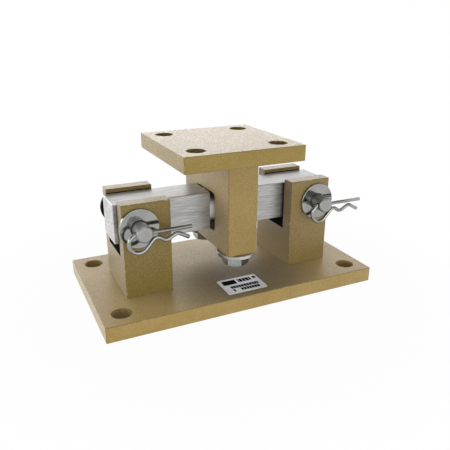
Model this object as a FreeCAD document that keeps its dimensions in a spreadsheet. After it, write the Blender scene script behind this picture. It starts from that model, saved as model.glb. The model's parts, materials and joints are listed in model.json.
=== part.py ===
import FreeCAD, Part
import math
import os
import re

import Sketcher

# Load cell weighing module: a double-ended beam on two clevis pins, loaded in the middle by a yoke.
#
# Millimetres, +Z up. The origin is the middle of the base plate's underside.
# +X runs along the beam, and the side with the spring clips and the data plate faces -Y.

os.makedirs("parts", exist_ok=True)
doc = FreeCAD.newDocument("weighing_module")

HEX_CORNER = 1 / math.cos(math.radians(30))
CROWN_SLOPE = math.tan(math.radians(60))

# Driving sizes

SIZES = {
    # base plate
    "base_length": 234.95,
    "base_width": 127.0,
    "base_thick": 12.7,
    "base_hole_dia": 14.3,
    "base_hole_margin": 15.875,
    # bevel along the edges of every plate and block
    "edge_break": 0.4,
    # slotted supports: two ears, and the room they leave beside and under the beam
    "support_length": 38.1,
    "ear_thick": 11.125,
    "slot_play": 2.35,
    "slot_drop": 9.475,
    "slot_corner": 4.8,
    # pins: distance apart, height over the base plate, and the walls left outside and above each
    "pin_span": 158.75,
    "pin_height": 57.15,
    "pin_edge": 12.7,
    "pin_crown": 19.05,
    "pin_dia": 12.7,
    "pin_fit": 0.05,
    "pin_reach": 16.0,
    "pin_bevel": 0.9,
    "pin_head_dia": 19.05,
    "pin_head_thick": 4.8,
    "pin_washer_dia": 31.0,
    "pin_washer_thick": 2.5,
    "washer_play": 0.3,
    # spring clips
    "clip_wire": 3.1,
    "clip_hole": 4.2,
    "clip_setback": 3.8,
    "clip_leg": 37.5,
    "clip_loop": 7.4,
    "clip_loop_start": 3.9,
    "clip_neck": 9.6,
    "clip_pinch": 0.2,
    "clip_dip": 7.7,
    "clip_hump": 8.7,
    "clip_wave": 9.2,
    "clip_wave_rise": 5.2,
    "clip_bend": 4.4,
    # screws that hold the supports from beneath
    "screw_dia": 7.94,
    "screw_span": 38.1,
    "screw_head_dia": 11.9,
    "screw_head_thick": 7.94,
    "screw_sink": 0.46,
    "screw_socket": 6.35,
    "screw_socket_depth": 4.0,
    "screw_hole_play": 0.4,
    "thread_play": 0.05,
    "tap_spare": 1.2,
    "tap_wall": 9.5,
    # load cell beam, which reaches past each pin
    "beam_end": 15.875,
    "beam_width": 30.2,
    "beam_height": 31.75,
    "waist_cut": 0.2,
    "waist_length": 30.8,
    # gauge pockets, their covers and what is bonded inside
    "gauge_wall": 1.7,
    "pocket_dia": 17.5,
    "pocket_depth": 22.0,
    "cover_ledge": 1.55,
    "cover_thick": 1.6,
    "cover_play": 0.05,
    "plug_depth": 6.6,
    "gauge_size": 8.0,
    "gauge_thick": 0.3,
    "strip_length": 8.0,
    "strip_width": 2.5,
    "strip_thick": 0.8,
    "strip_gap": 0.75,
    "wire_bore": 3.0,
    "wire_below": 2.3,
    # cable gland
    "gland_hex": 11.1,
    "gland_hex_thick": 4.5,
    "gland_thread": 8.0,
    "gland_thread_in": 7.0,
    "gland_thread_out": 5.5,
    "gland_bore": 5.2,
    "gland_nut_length": 10.5,
    "gland_nut_wall": 1.6,
    "gland_nut_play": 0.1,
    "gland_seal_hole": 4.6,
    # top plate
    "top_size": 101.6,
    "top_thick": 12.7,
    "top_hole_dia": 14.3,
    "top_hole_margin": 15.875,
    # yoke: the walls under the window, over it and outside the bolts, and the window round the beam
    "yoke_thick": 25.4,
    "yoke_foot": 13.2,
    "yoke_head": 27.65,
    "yoke_end": 12.7,
    "window_side": 3.95,
    "window_spare": 1.05,
    "window_corner": 4.8,
    "window_seat_gap": 0.3,
    # bolts through the yoke into the top plate
    "bolt_dia": 12.7,
    "bolt_span": 63.5,
    "bolt_tap_floor": 2.5,
    "bolt_hole_play": 0.8,
    "bolt_head_flats": 19.05,
    "bolt_head_thick": 8.4,
    "bolt_washer_dia": 31.75,
    "bolt_washer_thick": 2.8,
    # data plate
    "data_length": 34.9,
    "data_width": 24.0,
    "data_thick": 0.8,
    "data_corner": 1.2,
    "data_setback": 7.05,
}

# Sizes that follow from others, so that pieces that meet stay together

LINKED = {
    "base_hole_span_x": "base_length - 2 * base_hole_margin",
    "base_hole_span_y": "base_width - 2 * base_hole_margin",
    "slot_width": "beam_width + 2 * slot_play",
    "slot_floor": "pin_height - beam_height / 2 - slot_drop",
    "support_width": "slot_width + 2 * ear_thick",
    "support_height": "pin_height + pin_crown",
    "screw_recess": "screw_head_thick + screw_sink",
    "screw_length": "base_thick - screw_recess + slot_floor - tap_wall - tap_spare",
    "beam_length": "pin_span + 2 * beam_end",
    "waist_dia": "beam_width - 2 * waist_cut",
    "cover_dia": "pocket_dia + 2 * cover_ledge",
    "gauge_offset": "(waist_length + cover_dia) / 2 + gauge_wall",
    "strip_drop": "(gauge_size + strip_width) / 2 + strip_gap",
    "wire_depth": "cover_thick + plug_depth + wire_below",
    "top_hole_span": "top_size - 2 * top_hole_margin",
    "window_width": "beam_width + 2 * window_side",
    "window_height": "beam_height + window_spare",
    "yoke_drop": "yoke_foot + window_height - waist_dia / 2 - window_seat_gap",
    "yoke_height": "yoke_foot + window_height + yoke_head",
    "yoke_width": "bolt_span + 2 * yoke_end",
    "bolt_into_plate": "top_thick - bolt_tap_floor - tap_spare",
}

sheet = doc.addObject("Spreadsheet::Sheet", "Sizes")
contents = {alias: str(value) for alias, value in SIZES.items()}
contents.update((alias, f"={text}") for alias, text in LINKED.items())
for row, (alias, content) in enumerate(contents.items(), start=1):
    sheet.set(f"A{row}", alias)
    sheet.setAlias(f"B{row}", alias)
    sheet.set(f"B{row}", content)
doc.recompute()

# Places that several pieces share, as formulas on the sizes

AXIS_Z = "(base_thick + pin_height)"
SUPPORT_X = "(pin_span / 2 + pin_edge - support_length / 2)"
YOKE_Z = f"({AXIS_Z} - yoke_drop)"
PLATE_Z = f"({YOKE_Z} + yoke_height)"
WINDOW_TOP = "(yoke_foot + window_height)"
REAR_FACE_Y = "(beam_width / 2)"
POCKET_FLOOR_Y = "(beam_width / 2 - pocket_depth)"
PIN_BORE = "(pin_dia + 2 * pin_fit)"
CLIP_Y = "(support_width / 2 + pin_reach - clip_setback)"


# Helpers that bind sizes, places and directions


def formula(text):
    """Turn each size name in a formula into a reference to its cell."""
    return re.sub(r"[a-z]\w+", lambda word: f"Sizes.{word.group()}", str(text))


def bind(thing, **sizes):
    """Bind properties of one object to formulas."""
    for name, text in sizes.items():
        thing.setExpression(name, formula(text))
    return thing


def size(name):
    """Read one driving size from the sheet, in millimetres."""
    return float(sheet.get(name))


UPRIGHT = FreeCAD.Rotation()
ALONG_X = FreeCAD.Rotation(FreeCAD.Vector(0, 1, 0), 90)
TO_REAR = FreeCAD.Rotation(FreeCAD.Vector(1, 0, 0), -90)
TO_FRONT = FreeCAD.Rotation(FreeCAD.Vector(1, 0, 0), 90)
HALF_TURN = FreeCAD.Rotation(FreeCAD.Vector(0, 0, 1), 180)
UPSIDE_DOWN = FreeCAD.Rotation(FreeCAD.Vector(1, 0, 0), 180)


def place(thing, x=0, y=0, z=0, turn=UPRIGHT):
    """Turn an object and put its origin at three formulas."""
    thing.Placement = FreeCAD.Placement(FreeCAD.Vector(), turn)
    for axis, text in (("x", x), ("y", y), ("z", z)):
        thing.setExpression(f"Placement.Base.{axis}", formula(text))
    return thing


pieces = []


def piece(thing, node):
    """Name an object as one of the module's finished pieces."""
    thing.Label = node
    pieces.append(thing)
    return thing


# Sketch helpers. Each outline starts roughly, in multiples of one length, and its dimensions then drive it.

ROUGH = 4.0


def rough(x, y):
    """Give a point of a rough outline."""
    return FreeCAD.Vector(x * ROUGH, y * ROUGH, 0)


def rough_circle(x, y):
    """Give a circle of a rough outline."""
    return Part.Circle(rough(x, y), FreeCAD.Vector(0, 0, 1), ROUGH)


def sketch_on(body, plane, name):
    """Start a sketch on one of a body's own origin planes."""
    sketch = body.newObject("Sketcher::SketchObject", name)
    support = next(item for item in body.Origin.OriginFeatures if item.Role == plane)
    sketch.AttachmentSupport = [(support, "")]
    sketch.MapMode = "FlatFace"
    return sketch


def dimension(sketch, kind, *target, value):
    """Add one sketch dimension and bind it to a formula."""
    index = sketch.addConstraint(Sketcher.Constraint(kind, *target, 1.0))
    name = f"{kind}_{index}"
    sketch.renameConstraint(index, name)
    sketch.setExpression(f"Constraints.{name}", formula(value))


def draw_rectangle(sketch, across, up):
    """Draw a rectangle centred on the sketch's origin."""
    corners = [rough(-2, -2), rough(2, -2), rough(2, 2), rough(-2, 2)]
    for start, end in zip(corners, corners[1:] + corners[:1]):
        sketch.addGeometry(Part.LineSegment(start, end))
    for side in range(4):
        sketch.addConstraint(Sketcher.Constraint("Coincident", side, 2, (side + 1) % 4, 1))
        sketch.addConstraint(Sketcher.Constraint("Horizontal" if side % 2 == 0 else "Vertical", side))
    sketch.addConstraint(Sketcher.Constraint("Symmetric", 0, 1, 2, 1, -1, 1))
    dimension(sketch, "DistanceX", 0, 1, 0, 2, value=across)
    dimension(sketch, "DistanceY", 1, 1, 1, 2, value=up)


def draw_window(sketch, across, low, high, corner):
    """Draw a rounded rectangle centred on the sketch's upright axis, between two heights."""
    sides = [((-3, 1), (3, 1)), ((4, 2), (4, 7)), ((3, 8), (-3, 8)), ((-4, 7), (-4, 2))]
    for start, end in sides:
        sketch.addGeometry(Part.LineSegment(rough(*start), rough(*end)))
    for quarter, centre in enumerate([(3, 2), (3, 7), (-3, 7), (-3, 2)]):
        begin = math.pi / 2 * (quarter - 1)
        sketch.addGeometry(Part.ArcOfCircle(rough_circle(*centre), begin, begin + math.pi / 2))
    for side in range(4):
        sketch.addConstraint(Sketcher.Constraint("Tangent", side, 2, 4 + side, 1))
        sketch.addConstraint(Sketcher.Constraint("Tangent", 4 + side, 2, (side + 1) % 4, 1))
    for arc in (5, 6, 7):
        sketch.addConstraint(Sketcher.Constraint("Equal", 4, arc))
    sketch.addConstraint(Sketcher.Constraint("Symmetric", 0, 1, 0, 2, -2))
    for side, kind in ((1, "Vertical"), (2, "Horizontal"), (3, "Vertical")):
        sketch.addConstraint(Sketcher.Constraint(kind, side))
    dimension(sketch, "Radius", 4, value=corner)
    dimension(sketch, "DistanceX", 3, 1, 1, 1, value=across)
    dimension(sketch, "DistanceY", -1, 1, 0, 1, value=low)
    dimension(sketch, "DistanceY", -1, 1, 2, 1, value=high)


def draw_holes(sketch, diameter, span_x=None, span_y=None):
    """Draw two or four equal circles, spread evenly about the sketch's origin."""
    places = [(2, 2), (-2, -2), (-2, 2), (2, -2)]
    if span_x is None or span_y is None:
        places = places[:2]
    for x, y in places:
        sketch.addGeometry(rough_circle(x, y))
    dimension(sketch, "Diameter", 0, value=diameter)
    for number in range(1, len(places)):
        sketch.addConstraint(Sketcher.Constraint("Equal", 0, number))
    for span, kind, axis in ((span_x, "DistanceX", -2), (span_y, "DistanceY", -1)):
        if span is None:
            sketch.addConstraint(Sketcher.Constraint("PointOnObject", 0, 3, axis))
        else:
            dimension(sketch, kind, -1, 1, 0, 3, value=f"{span} / 2")
    sketch.addConstraint(Sketcher.Constraint("Symmetric", 0, 3, 1, 3, -1, 1))
    if len(places) > 2:
        sketch.addConstraint(Sketcher.Constraint("Symmetric", 0, 3, 2, 3, -2))
        sketch.addConstraint(Sketcher.Constraint("Symmetric", 0, 3, 3, 3, -1))


# Solid helpers


def plate(name, across, up, thick, bevel="edge_break"):
    """Make a body that is a plain rectangular block on the ground plane, with its edges broken."""
    body = doc.addObject("PartDesign::Body", name)
    outline = sketch_on(body, "XY_Plane", f"{name}_outline")
    draw_rectangle(outline, across, up)
    pad = body.newObject("PartDesign::Pad", f"{name}_pad")
    pad.Profile = outline
    bind(pad, Length=thick)
    doc.recompute()
    if bevel:
        chamfer = body.newObject("PartDesign::Chamfer", f"{name}_edges")
        chamfer.Base = (pad, [])
        chamfer.UseAllEdges = True
        bind(chamfer, Size=bevel)
        doc.recompute()
    return body


def cut_through(body, sketch):
    """Cut a sketch right through a body, both ways from its plane."""
    pocket = body.newObject("PartDesign::Pocket", f"{sketch.Name}_cut")
    pocket.Profile = sketch
    pocket.SideType = "Two sides"
    pocket.Type = "ThroughAll"
    pocket.Type2 = "ThroughAll"
    return finish_cut(body, pocket)


def cut_up(body, sketch, depth):
    """Cut a sketch on the ground plane upwards into a body."""
    pocket = body.newObject("PartDesign::Pocket", f"{sketch.Name}_cut")
    pocket.Profile = sketch
    pocket.Type = "Length"
    pocket.Reversed = True
    bind(pocket, Length=depth)
    return finish_cut(body, pocket)


def finish_cut(body, pocket):
    """Recompute, and make sure that the cut took something away."""
    before = pocket.BaseFeature.Shape.Volume
    doc.recompute()
    if pocket.Shape.Volume >= before:
        raise ValueError(f"{pocket.Name} cut nothing")
    return body


def turned(name, *steps):
    """Stack round steps along +Z, each (length, low radius, high radius), into one turned solid."""
    links = []
    start = "0"
    for number, (length, low, high) in enumerate(steps):
        if low == high:
            step = bind(doc.addObject("Part::Cylinder", f"{name}_step{number}"), Radius=low, Height=length)
        else:
            step = doc.addObject("Part::Cone", f"{name}_step{number}")
            bind(step, Radius1=low, Radius2=high, Height=length)
        place(step, z=start)
        links.append(step)
        start = f"{start} + {length}"
    return joined(name, *links)


def joined(name, *links):
    """Fuse solids into one."""
    if len(links) == 1:
        return links[0]
    fusion = doc.addObject("Part::MultiFuse", name)
    fusion.Shapes = list(links)
    fusion.Refine = True
    return fusion


def cut(name, solid, *tools):
    """Cut tools out of a solid."""
    result = doc.addObject("Part::Cut", name)
    result.Base = solid
    result.Tool = joined(f"{name}_tools", *tools)
    result.Refine = True
    return result


def drill(name, diameter, length, **spot):
    """Make a round tool, to be cut out of something."""
    tool = bind(doc.addObject("Part::Cylinder", name), Radius=f"{diameter} / 2", Height=length)
    return place(tool, **spot)


def box(name, length, width, height, **spot):
    """Make a box that is centred in X and Y on its place."""
    block = bind(doc.addObject("Part::Box", name), Length=length, Width=width, Height=height)
    x, y = spot.pop("x", "0"), spot.pop("y", "0")
    return place(block, x=f"{x} - {length} / 2", y=f"{y} - {width} / 2", **spot)


def ring(name, outer, inner, thick):
    """Make a flat washer standing on the ground plane."""
    disc = drill(f"{name}_disc", outer, thick)
    return cut(name, disc, drill(f"{name}_bore", inner, thick))


def hexagon(name, flats, height, crown=True):
    """Make a hexagon bar along +Z with corners on the Y axis, its upper end crowned by 30 degrees."""
    prism = doc.addObject("Part::Prism", f"{name}_bar")
    prism.Polygon = 6
    bind(prism, Circumradius=f"{flats} / 2 * {HEX_CORNER}", Height=height)
    prism.Placement = FreeCAD.Placement(FreeCAD.Vector(), FreeCAD.Rotation(FreeCAD.Vector(0, 0, 1), 30))
    if not crown:
        return prism
    cone = doc.addObject("Part::Cone", f"{name}_crown")
    bind(cone, Radius1=f"{flats} / 2 + {height} * {CROWN_SLOPE}", Radius2=f"{flats} / 2", Height=height)
    crowned = doc.addObject("Part::MultiCommon", name)
    crowned.Shapes = [prism, cone]
    crowned.Refine = True
    return crowned


# Base plate: four holes for the customer's bolts, four recessed holes for the supports' screws

base = plate("base_plate", "base_length", "base_width", "base_thick")
anchor_holes = sketch_on(base, "XY_Plane", "anchor_holes")
draw_holes(anchor_holes, "base_hole_dia", "base_hole_span_x", "base_hole_span_y")
cut_through(base, anchor_holes)
screw_holes = sketch_on(base, "XY_Plane", "screw_holes")
draw_holes(screw_holes, "(screw_dia + screw_hole_play)", f"(2 * {SUPPORT_X})", "screw_span")
cut_through(base, screw_holes)
screw_recesses = sketch_on(base, "XY_Plane", "screw_recesses")
draw_holes(screw_recesses, "(screw_head_dia + 2 * screw_hole_play)", f"(2 * {SUPPORT_X})", "screw_span")
cut_up(base, screw_recesses, "screw_recess")
piece(base, "base_plate")

# Supports: one slotted block, and the same block turned half round at the other end


def make_support(node, side, turn):
    body = plate(node, "support_length", "support_width", "support_height")
    slot = sketch_on(body, "YZ_Plane", f"{node}_slot")
    draw_window(slot, "slot_width", "slot_floor", "support_height + 2 * slot_corner", "slot_corner")
    cut_through(body, slot)
    bore = sketch_on(body, "XZ_Plane", f"{node}_bore")
    bore.addGeometry(rough_circle(1, 9))
    dimension(bore, "Diameter", 0, value=PIN_BORE)
    dimension(bore, "DistanceX", -1, 1, 0, 3, value="support_length / 2 - pin_edge")
    dimension(bore, "DistanceY", -1, 1, 0, 3, value="pin_height")
    cut_through(body, bore)
    taps = sketch_on(body, "XY_Plane", f"{node}_taps")
    draw_holes(taps, "(screw_dia + 2 * thread_play)", None, "screw_span")
    cut_up(body, taps, "screw_length - (base_thick - screw_recess) + tap_spare")
    place(body, x=f"{side} * {SUPPORT_X}", z="base_thick", turn=turn)
    return piece(body, node)


make_support("left_support", -1, HALF_TURN)
make_support("right_support", 1, UPRIGHT)

# Support screws: two socket head screws under each support, kept together as one node


def make_support_screw(name, x, y):
    head = drill(f"{name}_head", "screw_head_dia", "screw_head_thick")
    shank_length = "(screw_length - pin_bevel)"
    shank = turned(
        f"{name}_shank",
        (shank_length, "screw_dia / 2", "screw_dia / 2"),
        ("pin_bevel", "screw_dia / 2", "screw_dia / 2 - pin_bevel"),
    )
    place(shank, z="screw_head_thick")
    socket = hexagon(f"{name}_socket", "screw_socket", "screw_socket_depth", crown=False)
    screw = cut(name, joined(f"{name}_blank", head, shank), socket)
    return place(screw, x=x, y=y, z="screw_recess - screw_head_thick")


for node, side in (("left_support_screws", -1), ("right_support_screws", 1)):
    group = doc.addObject("Part::Compound", node)
    group.Links = [
        make_support_screw(f"{node}_{end}", f"{side} * {SUPPORT_X}", f"{sign} * screw_span / 2")
        for end, sign in (("front", -1), ("rear", 1))
    ]
    piece(group, node)

# Load cell beam: a square bar with a turned waist, two pin bores, and sealed pockets at the rear

bar = box("beam_bar", "beam_length", "beam_width", "beam_height", z=f"{AXIS_Z} - beam_height / 2")
doc.recompute()
bevelled_bar = doc.addObject("Part::Chamfer", "beam_bevelled")
bevelled_bar.Base = bar
bevelled_bar.Edges = [(edge, size("edge_break"), size("edge_break")) for edge in range(1, 13)]
around_waist = box(
    "beam_around_waist", "waist_length", "2 * beam_height", "2 * beam_height", z=f"{AXIS_Z} - beam_height"
)
waist = drill("beam_waist", "waist_dia", "waist_length", x="-waist_length / 2", z=AXIS_Z, turn=ALONG_X)
beam_tools = [cut("beam_waist_tool", around_waist, waist)]
for end, side in (("left", -1), ("right", 1)):
    at = dict(z=AXIS_Z, turn=TO_REAR)
    pin_x = f"{side} * pin_span / 2"
    beam_tools.append(drill(f"beam_{end}_bore", PIN_BORE, "2 * beam_width", x=pin_x, y="-beam_width", **at))
    gauge_x = f"{side} * gauge_offset"
    pocket_y = POCKET_FLOOR_Y
    beam_tools.append(drill(f"beam_{end}_pocket", "pocket_dia", "beam_width", x=gauge_x, y=pocket_y, **at))
    step_y = f"{REAR_FACE_Y} - cover_thick"
    step_dia = "(cover_dia + 2 * cover_play)"
    beam_tools.append(drill(f"beam_{end}_step", step_dia, "beam_width", x=gauge_x, y=step_y, **at))
wire_at = dict(x="-gauge_offset", y=f"{REAR_FACE_Y} - wire_depth", z=AXIS_Z, turn=ALONG_X)
beam_tools.append(drill("beam_wire_bore", "wire_bore", "2 * gauge_offset", **wire_at))
piece(cut("beam", bevelled_bar, *beam_tools), "load_cell_beam")

# Pocket covers, of which the right one is a thick plug tapped for the cable gland

disc = drill("left_cover_disc", "cover_dia", "cover_thick")
place(disc, x="-gauge_offset", y=f"{REAR_FACE_Y} - cover_thick", z=AXIS_Z, turn=TO_REAR)
piece(disc, "left_pocket_cover")

plug_length = "(plug_depth + cover_thick)"
plug_blank = turned(
    "plug_blank",
    ("plug_depth", "pocket_dia / 2 - cover_play", "pocket_dia / 2 - cover_play"),
    ("cover_thick", "cover_dia / 2", "cover_dia / 2"),
)
plug = cut("plug", plug_blank, drill("plug_bore", "(gland_thread + 2 * thread_play)", plug_length))
place(plug, x="gauge_offset", y=f"{REAR_FACE_Y} - {plug_length}", z=AXIS_Z, turn=TO_REAR)
piece(plug, "right_pocket_cover")

# Gauges and a terminal strip, bonded to the pockets' floors

for end, side in (("left", -1), ("right", 1)):
    gauge = box(f"{end}_gauge_pad", "gauge_size", "gauge_thick", "gauge_size",
                x=f"{side} * gauge_offset", y=f"{POCKET_FLOOR_Y} + gauge_thick / 2",
                z=f"{AXIS_Z} - gauge_size / 2")
    piece(gauge, f"{end}_strain_gauge")
strip = box("strip_block", "strip_length", "strip_thick", "strip_width",
            x="gauge_offset", y=f"{POCKET_FLOOR_Y} + strip_thick / 2",
            z=f"{AXIS_Z} - strip_drop - strip_width / 2")
piece(strip, "terminal_strip")

# Cable gland on the right cover: body, sealing ring and cap nut

gland_blank = joined(
    "gland_blank",
    drill("gland_stub", "gland_thread", "gland_thread_in", z="-gland_thread_in"),
    hexagon("gland_flange", "gland_hex", "gland_hex_thick", crown=False),
    drill("gland_neck", "gland_thread", "gland_thread_out", z="gland_hex_thick"),
)
gland_length = "(gland_thread_in + gland_hex_thick + gland_thread_out)"
gland_hole = drill("gland_hole", "gland_bore", gland_length, z="-gland_thread_in")
gland = cut("gland", gland_blank, gland_hole)
piece(place(gland, x="gauge_offset", y=REAR_FACE_Y, z=AXIS_Z, turn=TO_REAR), "gland_body")

nut_start = f"({REAR_FACE_Y} + gland_hex_thick)"
nut_bore = "(gland_thread + 2 * gland_nut_play)"
nut = cut(
    "nut",
    hexagon("nut_bar", "gland_hex", "gland_nut_length"),
    drill("nut_thread", nut_bore, "gland_nut_length - gland_nut_wall"),
    drill("nut_mouth", "gland_bore", "gland_nut_length"),
)
piece(place(nut, x="gauge_offset", y=nut_start, z=AXIS_Z, turn=TO_REAR), "gland_nut")

seal = ring("seal", "gland_thread", "gland_seal_hole", "gland_nut_length - gland_nut_wall - gland_thread_out")
seal_start = f"{nut_start} + gland_thread_out"
piece(place(seal, x="gauge_offset", y=seal_start, z=AXIS_Z, turn=TO_REAR), "gland_seal")

# Clevis pins, each with a head and a washer at the rear, and a washer and a clip at the front


def make_pin_set(end, side):
    x = f"{side} * pin_span / 2"
    washer_rear_y = "(support_width / 2)"
    shank_length = "(support_width + pin_washer_thick + pin_reach - pin_bevel)"
    blank = turned(
        f"{end}_pin_blank",
        ("pin_bevel", "pin_head_dia / 2 - pin_bevel", "pin_head_dia / 2"),
        ("pin_head_thick - pin_bevel", "pin_head_dia / 2", "pin_head_dia / 2"),
        (shank_length, "pin_dia / 2", "pin_dia / 2"),
        ("pin_bevel", "pin_dia / 2", "pin_dia / 2 - pin_bevel"),
    )
    hole_along = "(pin_head_thick + support_width + pin_washer_thick + pin_reach - clip_setback)"
    across = dict(x="-pin_dia", z=hole_along, turn=ALONG_X)
    cross_hole = drill(f"{end}_pin_hole", "clip_hole", "2 * pin_dia", **across)
    pin = cut(f"{end}_pin_cut", blank, cross_hole)
    head_y = f"{washer_rear_y} + pin_washer_thick + pin_head_thick"
    piece(place(pin, x=x, y=head_y, z=AXIS_Z, turn=TO_FRONT), f"{end}_pin")
    hole = "(pin_dia + 2 * washer_play)"
    for spot, y in (("rear", washer_rear_y), ("front", "-support_width / 2 - pin_washer_thick")):
        washer = ring(f"{end}_{spot}_washer_ring", "pin_washer_dia", hole, "pin_washer_thick")
        piece(place(washer, x=x, y=y, z=AXIS_Z, turn=TO_REAR), f"{end}_{spot}_pin_washer")
    place(piece(bend_clip(f"{end}_clip_wire"), f"{end}_clip"), x=x, y=f"-{CLIP_Y}", z=AXIS_Z)


def bend_clip(name):
    """Bend round wire in the upright plane: a straight leg, a loop under the pin, then a waved leg.

    A wire bent along lines and arcs is neither a primitive nor a pad, so its shape is set directly.
    """
    loop = size("clip_loop")
    centre = FreeCAD.Vector(-size("clip_loop_start"), 0, -loop)

    def on_loop(degrees):
        turn = math.radians(degrees)
        return centre + FreeCAD.Vector(math.cos(turn), 0, math.sin(turn)) * loop

    leg_tip = FreeCAD.Vector(size("clip_leg"), 0, 0)
    top = on_loop(90)
    left = on_loop(180)
    neck = FreeCAD.Vector(size("clip_neck"), 0, -size("clip_wire") - size("clip_pinch"))
    sight = neck - centre
    leave = on_loop(math.degrees(math.atan2(sight.z, sight.x) - math.acos(loop / sight.Length)))
    rise = size("clip_wave_rise")
    valley = neck + FreeCAD.Vector(size("clip_dip"), 0, -rise)
    crest = valley + FreeCAD.Vector(size("clip_hump"), 0, rise)
    tip = crest + FreeCAD.Vector(size("clip_wave"), 0, -rise)
    edges = [Part.LineSegment(leg_tip, top).toShape(), Part.Arc(top, left, leave).toShape()]
    edges += rounded_run([leave, neck, valley, crest, tip], size("clip_bend"))
    spine = Part.Wire(edges)
    section = Part.Wire(Part.makeCircle(size("clip_wire") / 2, leg_tip, FreeCAD.Vector(1, 0, 0)))
    wire = doc.addObject("Part::Feature", name)
    wire.Shape = spine.makePipeShell([section], True, True)
    return wire


def rounded_run(points, radius):
    """Join points by straight runs, with an arc of one radius at each corner."""
    edges = []
    at = points[0]
    for before, corner, after in zip(points, points[1:], points[2:]):
        back = (before - corner).normalize()
        ahead = (after - corner).normalize()
        half = back.getAngle(ahead) / 2
        bisector = (back + ahead).normalize()
        reach = radius / math.tan(half)
        start = corner + back * reach
        end = corner + ahead * reach
        middle = corner + bisector * (radius / math.sin(half) - radius)
        edges.append(Part.LineSegment(at, start).toShape())
        edges.append(Part.Arc(start, middle, end).toShape())
        at = end
    edges.append(Part.LineSegment(at, points[-1]).toShape())
    return edges


make_pin_set("left", -1)
make_pin_set("right", 1)

# Yoke: a block with a window round the beam's waist, and two long bolt holes

yoke = plate("yoke", "yoke_thick", "yoke_width", "yoke_height")
window = sketch_on(yoke, "YZ_Plane", "yoke_window")
draw_window(window, "window_width", f"{WINDOW_TOP} - window_height", WINDOW_TOP, "window_corner")
cut_through(yoke, window)
long_holes = sketch_on(yoke, "XY_Plane", "yoke_bolt_holes")
draw_holes(long_holes, "(bolt_dia + bolt_hole_play)", None, "bolt_span")
cut_through(yoke, long_holes)
piece(place(yoke, z=YOKE_Z), "yoke")

# Top plate: four holes for the tank's foot, and two tapped holes from beneath

top = plate("top_plate", "top_size", "top_size", "top_thick")
tank_holes = sketch_on(top, "XY_Plane", "tank_holes")
draw_holes(tank_holes, "top_hole_dia", "top_hole_span", "top_hole_span")
cut_through(top, tank_holes)
taps = sketch_on(top, "XY_Plane", "top_taps")
draw_holes(taps, "(bolt_dia + 2 * thread_play)", None, "bolt_span")
cut_up(top, taps, "bolt_into_plate + tap_spare")
piece(place(top, z=PLATE_Z), "top_plate")

# Yoke bolts and their washers, under the yoke


def make_yoke_bolt(end, side):
    y = f"{side} * bolt_span / 2"
    head = hexagon(f"{end}_bolt_head", "bolt_head_flats", "bolt_head_thick")
    place(head, turn=UPSIDE_DOWN)
    shank = turned(
        f"{end}_bolt_shank",
        ("bolt_washer_thick + yoke_height + bolt_into_plate - pin_bevel", "bolt_dia / 2", "bolt_dia / 2"),
        ("pin_bevel", "bolt_dia / 2", "bolt_dia / 2 - pin_bevel"),
    )
    bolt = joined(f"{end}_bolt", head, shank)
    piece(place(bolt, y=y, z=f"{YOKE_Z} - bolt_washer_thick"), f"{end}_yoke_bolt")
    hole = "(bolt_dia + 2 * washer_play)"
    washer = ring(f"{end}_bolt_washer_ring", "bolt_washer_dia", hole, "bolt_washer_thick")
    piece(place(washer, y=y, z=f"{YOKE_Z} - bolt_washer_thick"), f"{end}_yoke_washer")


make_yoke_bolt("front", -1)
make_yoke_bolt("rear", 1)

# Data plate: a thin plate with rounded corners, bonded to the base near its front edge

data = doc.addObject("PartDesign::Body", "data")
data_outline = sketch_on(data, "XY_Plane", "data_outline")
draw_window(data_outline, "data_length", "data_setback", "data_setback + data_width", "data_corner")
data_pad = data.newObject("PartDesign::Pad", "data_pad")
data_pad.Profile = data_outline
bind(data_pad, Length="data_thick")
piece(place(data, y="-base_width / 2", z="base_thick"), "data_plate")

# Every object has to be sound before any piece is written

doc.recompute()
for thing in doc.Objects:
    if {"Invalid", "Error"} & set(thing.State):
        raise ValueError(f"{thing.Name} failed: {thing.State}")
for thing in pieces:
    if thing.Shape.isNull() or not thing.Shape.isValid():
        raise ValueError(f"{thing.Label} has no valid shape")
for thing in pieces:
    thing.Shape.exportStep(f"parts/{thing.Label}.step")
    print(f"{thing.Label}: {len(thing.Shape.Solids)} solid, {thing.Shape.Volume / 1000:.2f} cm3")
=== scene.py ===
import json
import math

import bmesh
import bpy
from mathutils import Matrix, Vector


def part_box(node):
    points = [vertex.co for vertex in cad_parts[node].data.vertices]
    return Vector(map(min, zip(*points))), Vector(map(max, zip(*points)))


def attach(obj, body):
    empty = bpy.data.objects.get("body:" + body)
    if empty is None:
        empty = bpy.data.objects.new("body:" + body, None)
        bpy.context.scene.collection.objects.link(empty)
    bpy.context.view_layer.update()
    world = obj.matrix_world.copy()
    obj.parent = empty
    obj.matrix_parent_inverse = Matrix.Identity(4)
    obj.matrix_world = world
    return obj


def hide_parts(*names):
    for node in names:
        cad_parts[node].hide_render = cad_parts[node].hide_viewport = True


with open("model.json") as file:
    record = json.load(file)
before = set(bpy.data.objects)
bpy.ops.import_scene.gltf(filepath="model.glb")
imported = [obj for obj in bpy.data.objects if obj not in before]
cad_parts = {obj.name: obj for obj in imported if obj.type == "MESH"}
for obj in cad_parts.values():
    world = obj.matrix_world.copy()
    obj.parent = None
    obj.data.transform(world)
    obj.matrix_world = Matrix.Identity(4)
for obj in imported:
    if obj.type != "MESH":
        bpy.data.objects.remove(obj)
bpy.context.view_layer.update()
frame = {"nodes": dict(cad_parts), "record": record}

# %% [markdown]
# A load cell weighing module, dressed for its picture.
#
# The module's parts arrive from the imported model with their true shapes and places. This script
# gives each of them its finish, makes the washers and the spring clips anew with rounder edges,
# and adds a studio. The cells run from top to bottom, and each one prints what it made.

MM = 0.001
nodes = frame["nodes"]


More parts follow.
